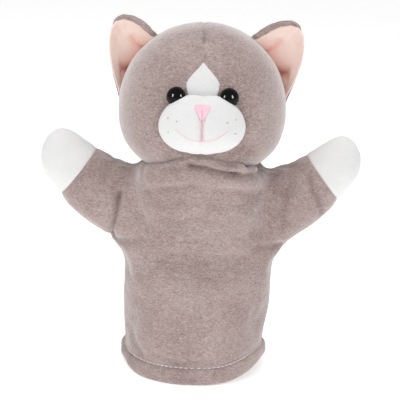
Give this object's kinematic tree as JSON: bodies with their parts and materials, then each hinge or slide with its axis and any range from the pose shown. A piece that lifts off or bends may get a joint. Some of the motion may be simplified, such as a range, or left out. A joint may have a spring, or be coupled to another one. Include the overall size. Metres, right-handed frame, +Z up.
{
  "type": "cat hand puppet",
  "caption": "Plush cat glove puppet: stuffed head with finger pocket on a soft hand glove, two jointed sleeves with white paws, standing on its hem.",
  "frame": {"origin": "middle of the hand opening, at the level the hem rests on", "axes": "+Z up; the face looks along -Y; the puppet's own left arm is on +X"},
  "size_m": [0.2236, 0.1086, 0.25],
  "materials": {
    "grey_velour": "short-pile plush velour, warm grey",
    "white_velour": "short-pile plush velour, white",
    "pink_lining": "smooth knitted lining, pale pink",
    "stuffing": "polyester fibre",
    "washer_plastic": "moulded",
    "eye_plastic": "polished black",
    "pink_thread": "embroidery thread, pink",
    "grey_thread": "sewing thread, grey"
  },
  "bodies": {
    "glove": {"front_panel": "grey_velour", "back_panel": "grey_velour", "front_hem": "grey_velour", "back_hem": "grey_velour", "hem_stitching": "grey_thread"},
    "neck": {"neck_front": "grey_velour", "neck_back": "grey_velour", "neck_stitching": "grey_thread"},
    "head": {"left_face": "grey_velour", "right_face": "grey_velour", "left_head_back": "grey_velour", "right_head_back": "grey_velour", "blaze": "white_velour", "muzzle_cover": "white_velour", "muzzle_stuffing": "stuffing", "head_stuffing": "stuffing", "finger_pocket": "grey_velour", "left_ear_back": "grey_velour", "left_ear_lining": "pink_lining", "right_ear_back": "grey_velour", "right_ear_lining": "pink_lining", "left_eye": "eye_plastic", "right_eye": "eye_plastic", "left_eye_washer": "washer_plastic", "right_eye_washer": "washer_plastic", "nose_embroidery": "pink_thread", "mouth_embroidery": "pink_thread", "whisker_dots": "grey_thread"},
    "left_shoulder": {"left_shoulder_front": "grey_velour", "left_shoulder_back": "grey_velour"},
    "left_arm": {"left_sleeve_front": "grey_velour", "left_sleeve_back": "grey_velour", "left_paw_front": "white_velour", "left_paw_back": "white_velour"},
    "right_shoulder": {"right_shoulder_front": "grey_velour", "right_shoulder_back": "grey_velour"},
    "right_arm": {"right_sleeve_front": "grey_velour", "right_sleeve_back": "grey_velour", "right_paw_front": "white_velour", "right_paw_back": "white_velour"}
  },
  "joints": [
    {"name": "head_nod", "type": "hinge", "parent": "glove", "child": "neck", "pos_m": [0, 0, 0.15], "axis": [1, 0, 0], "range_deg": [-16, 16], "deforming": ["neck_front", "neck_back", "neck_stitching"]},
    {"name": "head_turn", "type": "hinge", "parent": "neck", "child": "head", "pos_m": [0, 0, 0.15], "axis": [0, 0, 1], "range_deg": [-30, 30]},
    {"name": "left_arm_lift", "type": "hinge", "parent": "glove", "child": "left_shoulder", "pos_m": [0.05609, 0, 0.12154], "axis": [0, -1, 0], "range_deg": [-40, 15], "deforming": ["left_shoulder_front", "left_shoulder_back"]},
    {"name": "left_arm_clap", "type": "hinge", "parent": "left_shoulder", "child": "left_arm", "pos_m": [0.07028, 0, 0.13262], "axis": [0.6157, 0, -0.788], "range_deg": [-10, 50]},
    {"name": "right_arm_lift", "type": "hinge", "parent": "glove", "child": "right_shoulder", "pos_m": [-0.05609, 0, 0.12154], "axis": [0, 1, 0], "range_deg": [-40, 15], "deforming": ["right_shoulder_front", "right_shoulder_back"]},
    {"name": "right_arm_clap", "type": "hinge", "parent": "right_shoulder", "child": "right_arm", "pos_m": [-0.07028, 0, 0.13262], "axis": [0.6157, 0, 0.788], "range_deg": [-10, 50]}
  ]
}
